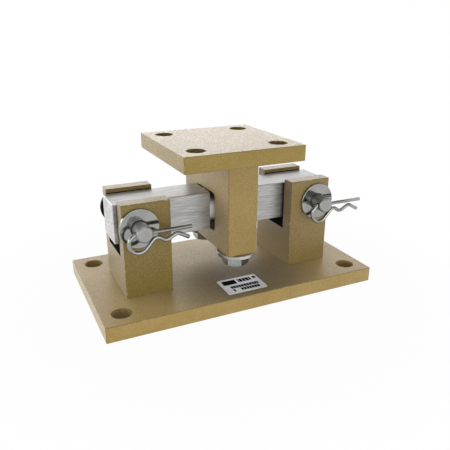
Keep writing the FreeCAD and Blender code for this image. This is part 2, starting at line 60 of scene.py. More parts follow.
def in_mm(values):
    """Round a place or a size to tenths of a millimetre, for printing."""
    return [round(value / MM, 1) for value in values]


def middle(node):
    """The middle of a node's box."""
    low, high = (Vector(corner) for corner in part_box(node))
    return (low + high) / 2


print("pieces in the packed model:", len(nodes))

# %% [markdown]
# The camera comes first. It looks slightly down on the module from the front left.
# It could be aimed with a tracking constraint, but its place was found by matching the straight
# edges of the plates, so it is written as a position, three angles and a focal length. A matrix
# made of three directions turns those into a camera.

# %% Set up the camera
CAMERA_SPOT = Vector((-175.83, -377.13, 207.53)) * MM
CAMERA_TURN = math.radians(25.46)
CAMERA_DIP = math.radians(20.85)
CAMERA_ROLL = math.radians(0.14)
CAMERA_LENS = 40.93
CAMERA_SHIFT = (0.00456, 0.00167)

ahead = Vector((
    math.sin(CAMERA_TURN) * math.cos(CAMERA_DIP),
    math.cos(CAMERA_TURN) * math.cos(CAMERA_DIP),
    -math.sin(CAMERA_DIP),
))
level_right = Vector((math.cos(CAMERA_TURN), -math.sin(CAMERA_TURN), 0.0))
level_up = level_right.cross(ahead)
right = level_right * math.cos(CAMERA_ROLL) + level_up * math.sin(CAMERA_ROLL)
up = right.cross(ahead)

camera_data = bpy.data.cameras.new("studio_camera")
camera_data.sensor_width = 36.0
camera_data.lens = CAMERA_LENS
camera_data.shift_x, camera_data.shift_y = CAMERA_SHIFT
camera_data.clip_start = 0.01
camera = bpy.data.objects.new("studio_camera", camera_data)
facing = Matrix((right, up, -ahead)).transposed().to_4x4()
camera.matrix_world = Matrix.Translation(CAMERA_SPOT) @ facing
bpy.context.scene.collection.objects.link(camera)
bpy.context.scene.camera = camera
print("camera to the module's middle:", in_mm([(CAMERA_SPOT - Vector((0, 0, 60 * MM))).length]), "mm")

# %% [markdown]
# Finishes and repeated shapes are both drawn as nodes, and sums between nodes read best as plain
# sums. A Signal wraps one output, and adding or multiplying Signals adds the Math nodes. A
# NodeSheet is one tree, with a single method that adds any node: its settings first, then the
# values or Signals of its sockets. Finishes, shapes and the studio's sky are all NodeSheets, and
# finishes and the sky share one soft step.

# %% A value that travels from node to node


class Signal:
    """One output of a node, on which sums can be written."""

    def __init__(self, sheet, socket):
        self.sheet = sheet
        self.socket = socket

    def work(self, operation, first, second=0.0):
        return self.sheet.node("ShaderNodeMath", {"operation": operation}, {0: first, 1: second})

    def __add__(self, other):
        return self.work("ADD", self, other)

    def __radd__(self, other):
        return self.work("ADD", other, self)

    def __sub__(self, other):
        return self.work("SUBTRACT", self, other)

    def __rsub__(self, other):
        return self.work("SUBTRACT", other, self)

    def __mul__(self, other):
        return self.work("MULTIPLY", self, other)

    def __rmul__(self, other):
        return self.work("MULTIPLY", other, self)

    def __truediv__(self, other):
        return self.work("DIVIDE", self, other)

    def __pow__(self, other):
        return self.work("POWER", self, other)

    def __abs__(self):
        return self.work("ABSOLUTE", self)

    def __gt__(self, other):
        return self.work("GREATER_THAN", self, other)

    def __lt__(self, other):
        return self.work("LESS_THAN", self, other)

    def least(self, other):
        return self.work("MINIMUM", self, other)

    def most(self, other):
        return self.work("MAXIMUM", self, other)

    def floor(self):
        return self.work("FLOOR", self)

    def fraction(self):
        return self.work("FRACT", self)


# %% A tree that is filled one node at a time


class NodeSheet:
    """A node tree with one method that adds any node."""

    def __init__(self, tree):
        self.tree = tree

    def node(self, kind, settings=None, sockets=None, output=0):
        made = self.tree.nodes.new(kind)
        for name, value in (settings or {}).items():
            setattr(made, name, value)
        for name, value in (sockets or {}).items():
            self.feed(made.inputs[name], value)
        return Signal(self, made.outputs[output])

    def feed(self, socket, value):
        if isinstance(value, Signal):
            self.tree.links.new(value.socket, socket)
        else:
            socket.default_value = value

    def ramp(self, value, low, high):
        """Spread the part of a value between low and high over 0 to 1, with soft ends."""
        return self.node("ShaderNodeMapRange", {"interpolation_type": "SMOOTHSTEP"},
                         {"Value": value, "From Min": low, "From Max": high})


# %% [markdown]
# A Finish is one material. Its patterns read Object coordinates, which are metres here, so a
# scratch keeps its real size on every piece. Small helpers give clouds of one size, fine rings, a
# mix of two colours and a relief, and the cells after this one combine them.

# %% A finish: one procedural material


class Finish(NodeSheet):
    """A metal finish that is built up node by node."""

    def __init__(self, name, **constants):
        self.material = bpy.data.materials.new(name)
        self.material.use_nodes = True
        super().__init__(self.material.node_tree)
        self.shader = self.tree.nodes["Principled BSDF"]
        for socket, value in constants.items():
            self.shader.inputs[socket.replace("_", " ")].default_value = value

    def spot(self, centre=(0.0, 0.0, 0.0), stretch=(1.0, 1.0, 1.0)):
        """The place on the piece in metres, measured from a centre and stretched."""
        place = self.node("ShaderNodeTexCoord", output="Object")
        shift = tuple(-start * factor for start, factor in zip(centre, stretch))
        return self.node("ShaderNodeMapping", {"vector_type": "POINT"},
                         {"Vector": place, "Location": shift, "Scale": stretch})

    def axes(self, centre=(0.0, 0.0, 0.0)):
        """The three coordinates of the place, one Signal each."""
        place = self.spot(centre)
        return [self.node("ShaderNodeSeparateXYZ", {}, {0: place}, output=axis) for axis in range(3)]

    def clouds(self, size, stretch=(1.0, 1.0, 1.0), detail=2.0):
        """Noise whose blobs are about one size across, in metres."""
        return self.node("ShaderNodeTexNoise", {"noise_dimensions": "3D"},
                         {"Vector": self.spot(stretch=stretch), "Scale": 1.0 / size, "Detail": detail})

    def rings(self, centre, axis, width, detail=3.0):
        """Fine rings round one axis, as a turning tool leaves them."""
        around = tuple(0.0 if letter == axis else 1.0 for letter in "XYZ")
        radius = self.node("ShaderNodeVectorMath", {"operation": "LENGTH"},
                           {0: self.spot(centre, around)}, output=1)
        return self.node("ShaderNodeTexNoise", {"noise_dimensions": "1D"},
                         {"W": radius, "Scale": 1.0 / width, "Detail": detail})

    def mix(self, share, first, second):
        """Mix two colours by a share from 0 to 1."""
        colours = [colour if isinstance(colour, Signal) else (*colour, 1.0)
                   for colour in (first, second)]
        return self.node("ShaderNodeMix", {"data_type": "RGBA"},
                         {0: share, 6: colours[0], 7: colours[1]}, output=2)

    def edge_gap(self, node):
        """How far the place is from the nearest edge of a node's own box, in metres."""
        low, high = (Vector(corner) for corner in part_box(node))
        half = (high - low) / 2
        gaps = [half[axis] - abs(place) for axis, place in enumerate(self.axes((low + high) / 2))]
        return gaps[0].least(gaps[1]).most(gaps[0].most(gaps[1]).least(gaps[2]))

    def colour(self, value):
        self.feed(self.shader.inputs["Base Color"], value)

    def rough(self, value):
        self.feed(self.shader.inputs["Roughness"], value)

    def relief(self, height, depth, strength=1.0):
        """Turn a height from 0 to 1 into bumps of one depth, in metres."""
        bump = self.node("ShaderNodeBump", {},
                         {"Strength": strength, "Distance": depth, "Height": height})
        self.feed(self.shader.inputs["Normal"], bump)

    def on(self, *names):
        """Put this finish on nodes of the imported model."""
        for name in names:
            for slot in nodes[name].material_slots:
                slot.material = self.material
        print(self.material.name, "on", ", ".join(names), "with", len(self.tree.nodes), "nodes")


# %% [markdown]
# The plates, the supports and the yoke are steel with a satin gold zinc coat. In the picture it
# is a deep olive gold where it is seen straight on, and pale beige where it is seen at a low
# angle. A single metallic colour can't do both, so the gold is a plain base with a thin lacquer
# and a little sheen over it, because those two turn pale by themselves towards a low angle.
#
# Close up the coat has a pebbled skin, like fine leather. The pebbles carry the lacquer and the
# hollows between them don't, so the grain sparkles at a low angle and calms down straight on. A
# finer grit darkens the colour in small dots and leaves a few pale ones, and slow clouds of
# warmer gold drift over it all.
#
# Along the edges the colour is darker, a painted shade, with a few spots paler, which are partly
# real wear and partly a painted highlight. An edge is found from the distances to the faces of
# the block's own box: at an edge, two of the three are small, so the middle one of the three is
# small too.
#
# The painted shade in the recesses has no shine, so it is a shader of its own, which a Mix Shader
# lays over the gold. Where it lies is a block's own matter, so each block brings a function that
# says so.

# %% Gold zinc: colours, grain, painted shade and highlight on edges, painted shade in recesses
GOLD = (0.475, 0.32, 0.078)
GOLD_DEEP = (0.475, 0.32, 0.040)
WARMER = (0.92, 0.89, 0.77)
# a pale gold for edge spots that are partly wear and partly a painted highlight
GOLD_WEAR_HIGHLIGHT = (0.70, 0.56, 0.30)
# a dark gold for the painted shade along the edges
GOLD_EDGE_SHADE = (0.110, 0.075, 0.028)
# the near black of the painted shade in recesses
PAINTED_SHADE_COLOUR = (0.018, 0.013, 0.007)
DRIFT = 30 * MM
PATCH = 5 * MM
PEBBLE = 1.0 * MM
GRAIN = 0.45 * MM
SKIN_RELIEF = 0.35 * MM
GRIT_SHADE = 0.14
GRIT_GLINT = 0.03
EDGE_LINE = (0.25 * MM, 0.85 * MM)
# shares of the painted edge shade, and of the pale edge spots of wear and painted highlight
EDGE_SHADE_SHARE = 0.50
EDGE_WEAR_HIGHLIGHT = 0.45


def shade(colour, tone, tint=(1.0, 1.0, 1.0)):
    """A colour made deeper or paler by one factor, and tinted."""
    return tuple(part * tone * share for part, share in zip(colour, tint))


def gold_zinc(node, gold, sheen, paint_shade):
    """Satin gold zinc for one block: painted shade on edges and in recesses, edge wear and painted
    highlight.
    """
    finish = Finish(f"gold_zinc_{node}", IOR=1.4, Sheen_Weight=sheen, Sheen_Roughness=0.5,
                    Sheen_Tint=(1.0, 0.94, 0.88, 1.0), Coat_Roughness=0.34, Coat_IOR=1.5)
    drift = finish.clouds(DRIFT, detail=3.0)
    pebbles = finish.clouds(PEBBLE, detail=2.0)
    grit = finish.clouds(GRAIN, detail=2.0)
    line = 1.0 - finish.ramp(finish.edge_gap(node), *EDGE_LINE)
    wear_and_highlight = line * finish.ramp(finish.clouds(PATCH), 0.58, 0.72)
    plain = finish.mix(finish.ramp(drift, 0.35, 0.65), gold, shade(gold, 1.0, WARMER))
    hollows = finish.mix(finish.ramp(grit, 0.56, 0.40) * GRIT_SHADE, plain, shade(gold, 0.45, WARMER))
    speckled = finish.mix(finish.ramp(grit, 0.52, 0.70) * GRIT_GLINT, hollows, GOLD_WEAR_HIGHLIGHT)
    # painted shade: a dark line along every edge
    edge_shaded = finish.mix(line * EDGE_SHADE_SHARE, speckled, GOLD_EDGE_SHADE)
    # pale spots on the edges, partly real wear and partly a painted highlight
    worn_and_highlighted = finish.mix(wear_and_highlight * EDGE_WEAR_HIGHLIGHT, edge_shaded, GOLD_WEAR_HIGHLIGHT)
    # painted shade in the block's recesses: darker colour, no lacquer, and a dull dark shader over it
    painted_shade_share = paint_shade(finish)
    finish.colour(finish.mix(painted_shade_share, worn_and_highlighted, PAINTED_SHADE_COLOUR))
    finish.feed(finish.shader.inputs["Coat Weight"], finish.ramp(pebbles, 0.42, 0.58) * (1.0 - painted_shade_share))
    finish.rough(0.40 + 0.08 * drift - 0.10 * wear_and_highlight + 0.5 * painted_shade_share)
    finish.relief(pebbles * 0.7 + grit * 0.3, SKIN_RELIEF)
    # the dull dark shader of the painted shade
    painted_shade_bsdf = finish.node("ShaderNodeBsdfPrincipled", {}, {
        "Base Color": (*PAINTED_SHADE_COLOUR, 1.0), "Roughness": 0.9, "Specular IOR Level": 0.1})
    clean = Signal(finish, finish.shader.outputs[0])
    surface = finish.node("ShaderNodeMixShader", {}, {0: painted_shade_share, 1: clean, 2: painted_shade_bsdf})
    finish.feed(finish.tree.nodes["Material Output"].inputs["Surface"], surface)
    finish.on(node)


# %% [markdown]
# Painted shade darkens the places where shade falls: the walls of the bolt holes and a rim round
# them, the slots beside the beam, the yoke's window, and the base before the yoke. The holes are
# found from the bolt patterns in the record, and the slots and the window from the beam's box and
# the room that they leave round it. The spot before the yoke is an oval that fades out, with a
# little cloud in its border. Nothing is painted by hand, so each mask stays where its recess is.

# %% Painted shade in the bolt holes
RIM = 0.6
SKIN = 0.05
mounts = {mount["name"]: mount for mount in frame["record"]["mounts"]}


def hole_painted_shade(finish, pattern, wall, rim):
    """Painted shade on the walls of a plate's four bolt holes, and on a narrow rim round each."""
    dims = mounts[pattern]["dims"]
    across, deep, _ = finish.axes()
    across = abs(across) - dims["spacing_x_mm"] / 2 * MM
    deep = abs(deep) - dims["spacing_y_mm"] / 2 * MM
    radius = (across * across + deep * deep) ** 0.5
    walls = radius < (dims["hole_r_mm"] + SKIN) * MM
    return (walls * wall).most((radius < (dims["hole_r_mm"] + RIM) * MM) * (1.0 - walls) * rim)


for pattern in ("base_bolts", "top_bolts"):
    print(pattern, "have holes of radius", mounts[pattern]["dims"]["hole_r_mm"], "mm")

# %% Painted shade in the slots and in the window
SLOT_PLAY = 2.35 * MM
SLOT_DROP = 9.475 * MM
# how dark the painted shade is: a little in the whole slot, much more beside and under the beam
SLOT_PAINTED_SHADE = 0.10
UNDER_BEAM_PAINTED_SHADE = 0.88
WINDOW_SIDE = 3.95 * MM
WINDOW_FOOT = 13.2 * MM
WINDOW_SPARE = 1.05 * MM
# how dark the painted shade in the yoke's window is
WINDOW_PAINTED_SHADE = 0.20

beam_low, beam_high = (Vector(corner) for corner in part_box("load_cell_beam"))
beam_width = beam_high.y - beam_low.y
window_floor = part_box("yoke")[0][2] + WINDOW_FOOT
window_roof = window_floor + beam_high.z - beam_low.z + WINDOW_SPARE


def in_passage(finish, width, floor, roof):
    """1 on the walls of a passage along X between two heights, and 0 elsewhere."""
    _, across, height = finish.axes()
    between = abs(across) < width / 2 + SKIN * MM
    return between * (height > floor - SKIN * MM) * (height < roof + SKIN * MM)


def slot_painted_shade(finish):
    """Painted shade in a support's slot round the beam's end, darker beside and under the beam."""
    slot_width = beam_width + 2 * SLOT_PLAY
    slot_floor = beam_low.z - SLOT_DROP
    whole = in_passage(finish, slot_width, slot_floor, beam_high.z * 2)
    beside_beam = in_passage(finish, slot_width, slot_floor, beam_high.z)
    return whole * SLOT_PAINTED_SHADE + beside_beam * UNDER_BEAM_PAINTED_SHADE


def window_painted_shade(finish):
    """Painted shade in the window that the yoke leaves round the beam's turned middle."""
    window = in_passage(finish, beam_width + 2 * WINDOW_SIDE, window_floor, window_roof)
    return window * WINDOW_PAINTED_SHADE


print("window from", *in_mm([window_floor]), "to", *in_mm([window_roof]), "mm above the floor")

# %% Painted shade on the two plates
SHELTER_MIDDLE = Vector((7, -39)) * MM
SHELTER_REACH = 60 * MM
SHELTER_LENGTH = 1.3
SHELTER_CLOUD = 25 * MM
SHELTER_FADE = (0.40, 1.15)
SHELTER_PAINTED_SHADE = 0.37


def base_plate_painted_shade(finish):
    """Painted shade in the base plate's bolt holes, and on the spot before the yoke where shade falls.
    """
    along, deep, height = finish.axes((*SHELTER_MIDDLE, 0.0))
    along = along / SHELTER_LENGTH
    away = (along * along + deep * deep) ** 0.5 / SHELTER_REACH
    # painted shade on the base's top before and under the yoke, fading out towards its border
    painted_shelter_shade = 1.0 - finish.ramp(away + finish.clouds(SHELTER_CLOUD) * 0.2, *SHELTER_FADE)
    painted_shelter_shade = painted_shelter_shade * (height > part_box("base_plate")[1][2] - SKIN * MM)
    return hole_painted_shade(finish, "base_bolts", wall=0.12, rim=0.60).most(painted_shelter_shade * SHELTER_PAINTED_SHADE)


def top_plate_painted_shade(finish):
    """Painted shade in the top plate's bolt holes."""
    return hole_painted_shade(finish, "top_bolts", wall=0.32, rim=0.5)


print("sheltered spot, middle in mm:", in_mm(SHELTER_MIDDLE))

# %% [markdown]
# Each block takes its own depth of gold and its own sheen. The depths are painted shade and
# light: darkest on the supports and palest on the base plate. The left support and the top plate
# start from a yellower gold, with less blue.

# %% Gold zinc on the five blocks
gold_zinc("base_plate", shade(GOLD, 0.86), sheen=0.32, paint_shade=base_plate_painted_shade)
gold_zinc("left_support", shade(GOLD_DEEP, 0.47), sheen=0.38, paint_shade=slot_painted_shade)
gold_zinc("right_support", shade(GOLD, 0.54), sheen=0.36, paint_shade=slot_painted_shade)
gold_zinc("yoke", shade(GOLD, 0.71), sheen=0.36, paint_shade=window_painted_shade)
gold_zinc("top_plate", shade(GOLD_DEEP, 0.64), sheen=0.30, paint_shade=top_plate_painted_shade)

# %% [markdown]
# The load cell is a stainless steel bar that was ground lengthways, so its scratches run along X
# and catch the light as short bright dashes. Noise that is stretched along X makes them, once
# fine for the scratches and once wide for the bands that a grinding wheel leaves. The two ends are
# sawn and paler, and their marks run level from side to side. The waist was turned on a lathe and
# left matt, and a painted highlight, pale along the middle of its sides, shows between the bar and
# the yoke. The waist is found by its distance from the bar's axis.

# %% Brushed steel for the load cell's bar
STEEL = (0.34, 0.337, 0.33)
STEEL_BRIGHT = (0.50, 0.497, 0.49)
STEEL_PALE = (0.74, 0.735, 0.73)
# the colour of the painted highlight on the waist
STEEL_WAIST_HIGHLIGHT = (0.95, 0.945, 0.93)
SCRATCH = 0.8 * MM
BAND = 3.5 * MM
SAW_MARK = 0.7 * MM
SCRATCH_STRETCH = (0.07, 1.0, 1.0)
SAW_STRETCH = (1.0, 0.06, 1.0)
BAR_EDGE = (0.15 * MM, 0.6 * MM)
BAR_END = beam_high.x - 0.2 * MM
WAIST_REACH = 25 * MM
# heights where the waist's painted highlight fades out
WAIST_HIGHLIGHT_FADE = (5 * MM, 12 * MM)

bar = Finish("brushed_bar", Metallic=1.0)
scratches = bar.clouds(SCRATCH, SCRATCH_STRETCH, detail=4.0)
bands = bar.clouds(BAND, SCRATCH_STRETCH)
# a pale line along the bar's edges, partly wear and partly a painted highlight
bar_wear_and_highlight = 1.0 - bar.ramp(bar.edge_gap("load_cell_beam"), *BAR_EDGE)
bar_grain = bar.mix(bar.ramp(scratches * 0.65 + bands * 0.35, 0.38, 0.62), STEEL, STEEL_BRIGHT)
saw_marks = bar.clouds(SAW_MARK, SAW_STRETCH, detail=4.0)
sawn = bar.mix(bar.ramp(saw_marks, 0.40, 0.62), STEEL_BRIGHT, STEEL_PALE)
bar_along, bar_deep, bar_high = bar.axes((beam_low + beam_high) / 2)
bar_ended = bar.mix(abs(bar_along) > BAR_END, bar_grain, sawn)
from_axis = (bar_deep * bar_deep + bar_high * bar_high) ** 0.5
waist_highlight = (from_axis < beam_width / 2 - SKIN * MM) * (abs(bar_along) < WAIST_REACH)
# a painted highlight along the middle of the waist's sides
waist_highlight = waist_highlight * (1.0 - bar.ramp(abs(bar_high), *WAIST_HIGHLIGHT_FADE))
bar_highlighted = bar.mix(waist_highlight, bar_ended, STEEL_WAIST_HIGHLIGHT)
bar.colour(bar.mix(bar_wear_and_highlight * 0.25, bar_highlighted, STEEL_PALE))
bar.rough(0.33 + 0.14 * bands + 0.35 * waist_highlight)
bar.relief(scratches, 0.06 * MM, strength=0.6)
bar.on("load_cell_beam")

# %% [markdown]
# Pins, washers, clips and bolts are zinc plated and bright. Their faces were turned or stamped,
# so the marks are rings round the piece's own axis, and the plating adds slow cloudy changes.
# One function serves them all, and takes the roughness, the centre and the axis of the rings, and
# the two tones that the clouds mix: bright for most pieces, paler for the pins' ends and the
# washers under the yoke, and nearly black for the washers behind the supports, a painted shade.

# %% Bright zinc
ZINC = (0.29, 0.295, 0.28)
ZINC_PALE = (0.37, 0.37, 0.355)
ZINC_WHITE = (0.40, 0.40, 0.385)
# nearly black tones: a painted shade on the rear washers behind the supports
REAR_WASHER_SHADE = (0.012, 0.012, 0.013)
REAR_WASHER_SHADE_DUSTY = (0.030, 0.029, 0.028)
TOOL_MARK = 0.5 * MM
BLOOM = 9 * MM


def zinc_plate(name, roughness, centre, axis, tones=(ZINC, ZINC_PALE)):
    """Zinc plate with fine rings round one axis through a centre."""
    finish = Finish(f"{name}_zinc", Metallic=1.0)
    rings = finish.rings(centre, axis, TOOL_MARK)
    clouds = finish.clouds(BLOOM)
    finish.colour(finish.mix(finish.ramp(clouds * 0.6 + rings * 0.4, 0.35, 0.70), *tones))
    finish.rough(roughness + 0.06 * clouds)
    finish.relief(rings, 0.01 * MM, strength=0.35)
    return finish


for end in ("left", "right"):
    zinc_plate(f"{end}_pin", 0.38, middle(f"{end}_pin"), "Y", (ZINC, ZINC_WHITE)).on(f"{end}_pin")
for end in ("front", "rear"):
    zinc_plate(f"{end}_bolt", 0.22, middle(f"{end}_yoke_bolt"), "Z").on(f"{end}_yoke_bolt")

# %% [markdown]
# The pocket covers behind the bar are stainless discs that were faced on a lathe, and the cable
# gland is nickel plated brass. The rings are centred on the gland, and a warmer tone comes
# through in small patches where hands and spanners have rubbed it.

# %% Turned covers and the cable gland
for end in ("left", "right"):
    cover = Finish(f"{end}_turned_cover", Metallic=1.0)
    cut_rings = cover.rings(middle(f"{end}_pocket_cover"), "Y", 0.35 * MM)
    haze = cover.clouds(6 * MM)
    cover.colour(cover.mix(cover.ramp(cut_rings * 0.5 + haze * 0.5, 0.36, 0.64), STEEL, STEEL_BRIGHT))
    cover.rough(0.24 + 0.12 * haze)
    cover.relief(cut_rings, 0.02 * MM, strength=0.5)
    cover.on(f"{end}_pocket_cover")

NICKEL = (0.60, 0.575, 0.52)
BRASS = (0.62, 0.46, 0.22)
gland = Finish("nickel_gland", Metallic=1.0)
gland_rings = gland.rings(middle("gland_nut"), "Y", 0.4 * MM)
rubbed = gland.ramp(gland.clouds(2.5 * MM, detail=4.0), 0.58, 0.75)
gland.colour(gland.mix(rubbed * 0.5, NICKEL, BRASS))
gland.rough(0.20 + 0.25 * rubbed)
gland.relief(gland_rings, 0.01 * MM, strength=0.4)
gland.on("gland_body", "gland_nut")

# %% [markdown]
# The small pieces that are seldom seen get their own finishes too, because someone may turn the
# module over or open a pocket. The support screws are black oxide, blotchy with oil. The sealing
# ring is matt rubber with a dusting of grey. A strain gauge is amber foil with a fine grid of
# metal lines, and the terminal strip is green board with a row of tinned pads.

# %% Black screws and the rubber seal
oxide = Finish("black_oxide", Metallic=0.6, Specular_IOR_Level=0.4)
oil = oxide.clouds(3 * MM, detail=3.0)
oxide.colour(oxide.mix(oxide.ramp(oil, 0.35, 0.68), (0.022, 0.022, 0.026), (0.075, 0.070, 0.066)))
oxide.rough(0.32 + 0.25 * oil)
oxide.relief(oxide.clouds(0.4 * MM), 0.02 * MM, strength=0.4)
oxide.on("left_support_screws", "right_support_screws")

rubber = Finish("seal_rubber")
dust = rubber.clouds(1.2 * MM, detail=4.0)
rubber.colour(rubber.mix(rubber.ramp(dust, 0.45, 0.75), (0.018, 0.018, 0.019), (0.075, 0.073, 0.070)))
rubber.rough(0.62 + 0.2 * dust)
rubber.relief(dust, 0.03 * MM, strength=0.5)
rubber.on("gland_seal")

# %% Foil gauges and the terminal strip
GRID_PITCH = 0.5 * MM
GRID_HALF = (2.8 * MM, 2.6 * MM)
PAD_PITCH = 2 * MM
PAD_HALF = 0.8 * MM

for end in ("left", "right"):
    gauge = Finish(f"{end}_gauge_foil", Coat_Weight=0.6, Coat_Roughness=0.12)
    across, _, height = gauge.axes(middle(f"{end}_strain_gauge"))
    lines = (across / GRID_PITCH).fraction() > 0.45
    grid = lines * (abs(across) < GRID_HALF[0]) * (abs(height) < GRID_HALF[1])
    tint = gauge.ramp(gauge.clouds(2 * MM), 0.35, 0.65)
    film = gauge.mix(tint, (0.58, 0.30, 0.07), (0.50, 0.24, 0.05))
    gauge.colour(gauge.mix(grid, film, (0.55, 0.52, 0.46)))
    gauge.feed(gauge.shader.inputs["Metallic"], grid)
    gauge.rough(0.42 - 0.15 * grid)
    gauge.on(f"{end}_strain_gauge")

board = Finish("strip_board", Coat_Weight=0.5, Coat_Roughness=0.2)
along, _, level = board.axes(middle("terminal_strip"))
pads = (abs((along / PAD_PITCH).fraction() - 0.5) < 0.32) * (abs(level) < PAD_HALF)
weave = board.ramp(board.clouds(0.9 * MM), 0.4, 0.6)
laminate = board.mix(weave, (0.030, 0.170, 0.075), (0.022, 0.120, 0.055))
board.colour(board.mix(pads, laminate, (0.66, 0.65, 0.62)))
board.feed(board.shader.inputs["Metallic"], pads)
board.rough(0.45 - 0.18 * pads)
board.on("terminal_strip")

# %% [markdown]
# The data plate is thin anodised metal with black print. Print on metal has no height, so it
# belongs in the finish and not in the mesh. It is kept generic: three solid blocks in the first
# row and two rows of short dashes under them, which carry no words. Each dash is a cell of a
# grid, and a random number for the cell decides whether it is inked.

# %% Anodised data plate with printed blocks and dashes
SILVER = (0.68, 0.68, 0.70)
SILVER_PALE = (0.84, 0.84, 0.86)
INK = (0.010, 0.010, 0.011)

label = Finish("printed_data_plate", Specular_IOR_Level=0.0)
print_x, print_y, print_z = label.axes(middle("data_plate"))


def printed_row(low, high, start, end, pitch, gap, seed, share):
    """A row of inked cells between two heights and two ends, all in millimetres."""
    row = (print_y > low * MM) * (print_y < high * MM) * (print_x > start * MM) * (print_x < end * MM)
    cell = print_x / (pitch * MM)
    chance = label.node("ShaderNodeTexWhiteNoise", {"noise_dimensions": "1D"},
                        {"W": cell.floor() + seed})
    return row * (cell.fraction() > gap) * (chance > 1.0 - share)


blocks = printed_row(2.2, 9.4, -15.0, -3.0, 15.0, 0.0, 0.0, 1.0)
blocks = blocks.most(printed_row(3.4, 8.8, -1.0, 11.0, 3.0, 0.12, 3.0, 1.0))
blocks = blocks.most(printed_row(5.2, 8.8, 13.0, 16.0, 3.2, 0.06, 5.0, 1.0))
dashes = printed_row(-4.8, -0.8, -11.4, 13.6, 2.4, 0.10, 11.5, 0.92)
dashes = dashes.most(printed_row(-9.9, -5.9, -11.4, 12.6, 2.4, 0.10, 23.5, 0.92))
ink = blocks.most(dashes)
sanded = label.clouds(0.5 * MM, (0.12, 1.0, 1.0), detail=3.0)
metal = label.mix(label.ramp(sanded, 0.38, 0.62), SILVER, SILVER_PALE)
label.colour(label.mix(ink, metal, INK))
label.feed(label.shader.inputs["Metallic"], 0.4 - 0.4 * ink)
label.rough(0.36 + 0.10 * sanded + 0.12 * ink)
label.relief(sanded, 0.01 * MM, strength=0.4)
label.on("data_plate")

# %% [markdown]
# Washers repeat, so one Geometry Nodes tree makes them all. A real washer is stamped: both faces
# are flat, and its edges are slightly rounded, so they catch a bright line. The start mesh is the
# outline of the ring's cross-section, with extra points near the corners that keep the flat
# faces flat under smooth shading. The tree sweeps that outline round a circle, sets one washer
# on every point of a short line, and turns them the way the pin or the bolt goes.
#
# Mesh code could spin the outline too, but then each row of washers would need its own loop. As a
# tree, the same recipe serves the pins and the bolts with other sizes.

# %% A recipe: one Geometry Nodes tree with named sizes
WELD = 0.0005 * MM


class Recipe(NodeSheet):
    """A tree that turns a start mesh into a finished shape."""

    def __init__(self, name, **sizes):
        super().__init__(bpy.data.node_groups.new(name, "GeometryNodeTree"))
        face = self.tree.interface
        self.names = {}
        for size, kind in {"Start": "Geometry", **sizes, "Coat": "Material"}.items():
            socket = face.new_socket(size, in_out="INPUT", socket_type=f"NodeSocket{kind}")
            self.names[size] = socket.identifier
        face.new_socket("Shape", in_out="OUTPUT", socket_type="NodeSocketGeometry")
        self.group_in = self.tree.nodes.new("NodeGroupInput")
        self.group_out = self.tree.nodes.new("NodeGroupOutput")

    def given(self, name):
        """The Signal of one named input."""
        return Signal(self, self.group_in.outputs[name])

    def close(self, shape):
        """End the tree: real geometry, smooth, with its material."""
        real = self.node("GeometryNodeRealizeInstances", {}, {"Geometry": shape})
        smooth = self.node("GeometryNodeSetShadeSmooth", {}, {"Geometry": real})
        coated = self.node("GeometryNodeSetMaterial", {}, {
            "Geometry": smooth, "Material": self.given("Coat")})
        self.feed(self.group_out.inputs["Shape"], coated)

    def make(self, name, points, edges, values, **sizes):
        """Run the tree once and keep its result as a plain mesh, faces outwards."""
        outline = bpy.data.meshes.new(f"{name}_outline")
        outline.from_pydata(points, edges, [])
        for title, numbers in values.items():
            outline.attributes.new(title, "FLOAT", "POINT").data.foreach_set("value", numbers)
        draft = bpy.data.objects.new(f"{name}_draft", outline)
        bpy.context.scene.collection.objects.link(draft)
        modifier = draft.modifiers.new("recipe", "NODES")
        modifier.node_group = self.tree
        for title, value in sizes.items():
            modifier[self.names[title]] = value
        graph = bpy.context.evaluated_depsgraph_get()
        mesh = bpy.data.meshes.new_from_object(draft.evaluated_get(graph))
        bpy.data.objects.remove(draft)
        shell = bmesh.new()
        shell.from_mesh(mesh)
        bmesh.ops.remove_doubles(shell, verts=shell.verts, dist=WELD)
        bmesh.ops.recalc_face_normals(shell, faces=shell.faces)
        shell.to_mesh(mesh)
        volume = shell.calc_volume(signed=True)
        shell.free()
        mesh.name = name
        made = bpy.data.objects.new(name, mesh)
        bpy.context.scene.collection.objects.link(made)
        print(name, "faces:", len(mesh.polygons), "volume:", round(volume / MM ** 3), "cubic mm")
        return made


# %% The washer recipe
RING_SIDES = 96

washers = Recipe("washer_row", Ring="Float", First="Vector", Step="Vector", Count="Int", Turn="Vector")
circle = washers.node("GeometryNodeCurvePrimitiveCircle", {}, {
    "Resolution": RING_SIDES, "Radius": washers.given("Ring")})
section = washers.node("GeometryNodeMeshToCurve", {}, {"Mesh": washers.given("Start")})
swept = washers.node("GeometryNodeCurveToMesh", {}, {"Curve": circle, "Profile Curve": section})
row = washers.node("GeometryNodeMeshLine", {}, {
    "Count": washers.given("Count"), "Start Location": washers.given("First"),
    "Offset": washers.given("Step")})
turned_way = washers.node("FunctionNodeEulerToRotation", {}, {"Euler": washers.given("Turn")})
washers.close(washers.node("GeometryNodeInstanceOnPoints", {}, {
    "Points": row, "Instance": swept, "Rotation": turned_way}))
print("washer recipe:", len(washers.tree.nodes), "nodes")

# %% The outline of a washer's cross-section
CORNER = 0.45 * MM
CORNER_STEPS = 6
KEEPER = 0.12 * MM


